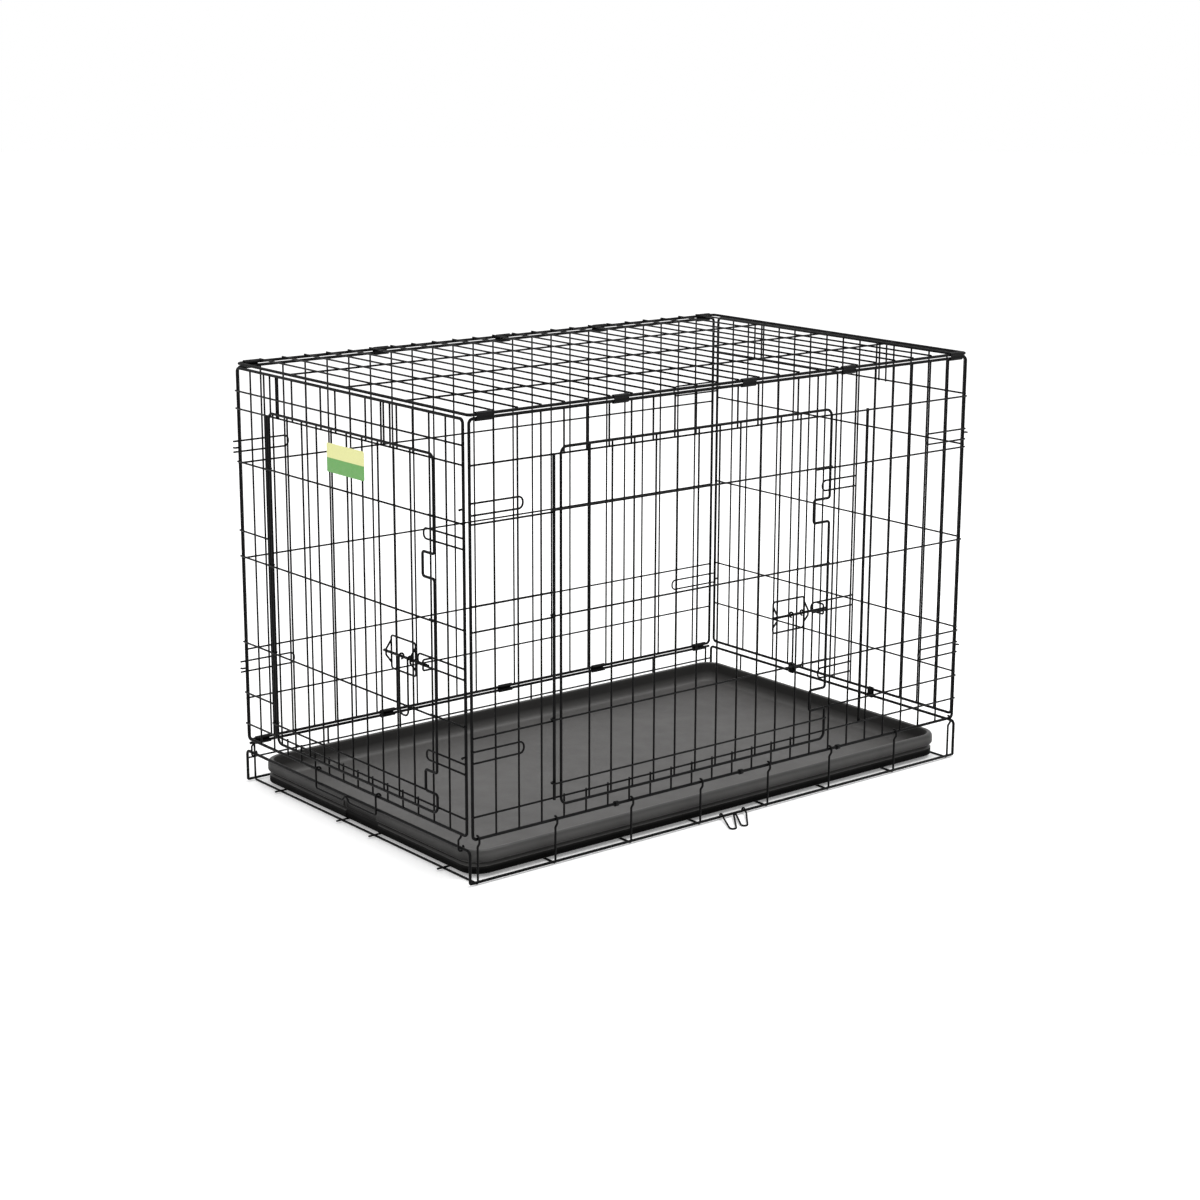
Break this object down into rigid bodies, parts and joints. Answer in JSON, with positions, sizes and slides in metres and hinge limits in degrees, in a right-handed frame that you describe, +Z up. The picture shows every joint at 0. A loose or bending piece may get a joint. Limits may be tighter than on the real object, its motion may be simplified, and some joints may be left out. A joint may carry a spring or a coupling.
{
  "type": "wire dog crate",
  "caption": "Folding black wire dog crate with a latched door in its long side and one in its end, a slide-out tray and a wire roof.",
  "frame": {"origin": "middle of the whole crate's box, on the floor", "axes": "+X along the crate from the end with the door towards the other end, +Y from the side with the door towards the other side, +Z up"},
  "size_m": [0.9654, 0.6284, 0.6445],
  "materials": {
    "wire": "satin black coated steel wire",
    "clip": "satin black coated steel strip",
    "tray": "dark grey moulded plastic, lightly textured, with a glossier rim",
    "card": "plain two-tone card, pale yellow over green, with no print"
  },
  "bodies": {
    "base": {"base_frame": "wire"},
    "front_wall": {"front_panel": "wire", "side_door_rod": "wire", "side_keeper": "wire", "front_top_clip_1": "clip", "front_top_clip_2": "clip", "front_top_clip_3": "clip", "front_top_clip_4": "clip", "front_top_clip_5": "clip", "front_bottom_clip_1": "clip", "front_bottom_clip_2": "clip", "front_bottom_clip_3": "clip"},
    "rear_wall": {"rear_panel": "wire", "rear_bottom_clip_1": "clip", "rear_bottom_clip_2": "clip", "rear_bottom_clip_3": "clip", "rear_bottom_clip_4": "clip", "rear_bottom_clip_5": "clip"},
    "roof": {"top_panel": "wire", "rear_top_clip_1": "clip", "rear_top_clip_2": "clip", "rear_top_clip_3": "clip", "rear_top_clip_4": "clip", "rear_top_clip_5": "clip"},
    "left_end": {"left_end_panel": "wire", "end_door_rod": "wire", "end_keeper": "wire", "left_end_eye_1": "wire", "left_end_eye_2": "wire", "left_end_hook_1": "wire", "left_end_hook_2": "wire", "left_end_hook_3": "wire", "left_end_hook_4": "wire"},
    "right_end": {"right_end_panel": "wire", "right_end_hook_1": "wire", "right_end_hook_2": "wire", "right_end_hook_3": "wire", "right_end_hook_4": "wire", "right_end_ring_1": "clip", "right_end_ring_2": "clip"},
    "side_door": {"side_door": "wire"},
    "side_bolt": {"side_bolt": "wire"},
    "side_lever": {"side_lever": "wire"},
    "end_door": {"end_door": "wire", "label_card": "card"},
    "end_bolt": {"end_bolt": "wire"},
    "end_lever": {"end_lever": "wire"},
    "pan": {"pan": "tray"},
    "pan_stop": {"pan_stop": "wire"},
    "storage_catch": {"storage_catch": "wire"}
  },
  "joints": [
    {"name": "fold", "type": "hinge", "parent": "base", "child": "front_wall", "pos_m": [0.0053, -0.26697, 0.0655], "axis": [-1, 0, 0], "range_deg": [0, 85]},
    {"name": "rear_fold", "type": "hinge", "parent": "base", "child": "rear_wall", "pos_m": [0.0053, 0.31003, 0.0602], "axis": [-1, 0, 0], "range_deg": [0, 85]},
    {"name": "roof_fold", "type": "hinge", "parent": "rear_wall", "child": "roof", "pos_m": [0.0053, 0.31003, 0.635], "axis": [1, 0, 0], "range_deg": [0, 85]},
    {"name": "left_end_fold", "type": "hinge", "parent": "base", "child": "left_end", "pos_m": [-0.4627, 0.02153, 0.05], "axis": [0, -1, 0], "range_deg": [-90, 0]},
    {"name": "right_end_fold", "type": "hinge", "parent": "base", "child": "right_end", "pos_m": [0.4733, 0.02153, 0.059], "axis": [0, 1, 0], "range_deg": [-88, 0]},
    {"name": "side_door_swing", "type": "hinge", "parent": "front_wall", "child": "side_door", "pos_m": [-0.3242, -0.27257, 0.007], "axis": [0, 0, 1], "range_deg": [-160, 0]},
    {"name": "side_bolt_slide", "type": "slide", "parent": "side_door", "child": "side_bolt", "axis": [1, 0, 0], "range_m": [-0.028, 0]},
    {"name": "side_lever_turn", "type": "hinge", "parent": "side_bolt", "child": "side_lever", "pos_m": [0.0053, -0.28167, 0.2915], "axis": [1, 0, 0], "range_deg": [-120, 0]},
    {"name": "end_door_swing", "type": "hinge", "parent": "left_end", "child": "end_door", "pos_m": [-0.4683, 0.21403, 0.007], "axis": [0, 0, -1], "range_deg": [0, 160]},
    {"name": "end_bolt_slide", "type": "slide", "parent": "end_door", "child": "end_bolt", "axis": [0, 1, 0], "range_m": [0, 0.027]},
    {"name": "end_lever_turn", "type": "hinge", "parent": "end_bolt", "child": "end_lever", "pos_m": [-0.4774, 0.02153, 0.2955], "axis": [0, 1, 0], "range_deg": [0, 120]},
    {"name": "pan_slide", "type": "slide", "parent": "base", "child": "pan", "axis": [-1, 0, 0], "range_m": [0, 0.7]},
    {"name": "pan_stop_lift", "type": "hinge", "parent": "left_end", "child": "pan_stop", "pos_m": [-0.4627, 0.02153, 0.07], "axis": [0, 1, 0], "range_deg": [0, 110]},
    {"name": "catch_swing", "type": "hinge", "parent": "base", "child": "storage_catch", "pos_m": [0.0053, -0.26697, 0.00417], "axis": [-1, 0, 0], "range_deg": [0, 75]}
  ],
  "couplings": [
    {"joint": "rear_fold", "follows": "fold", "ratio": 1},
    {"joint": "roof_fold", "follows": "fold", "ratio": 1}
  ]
}
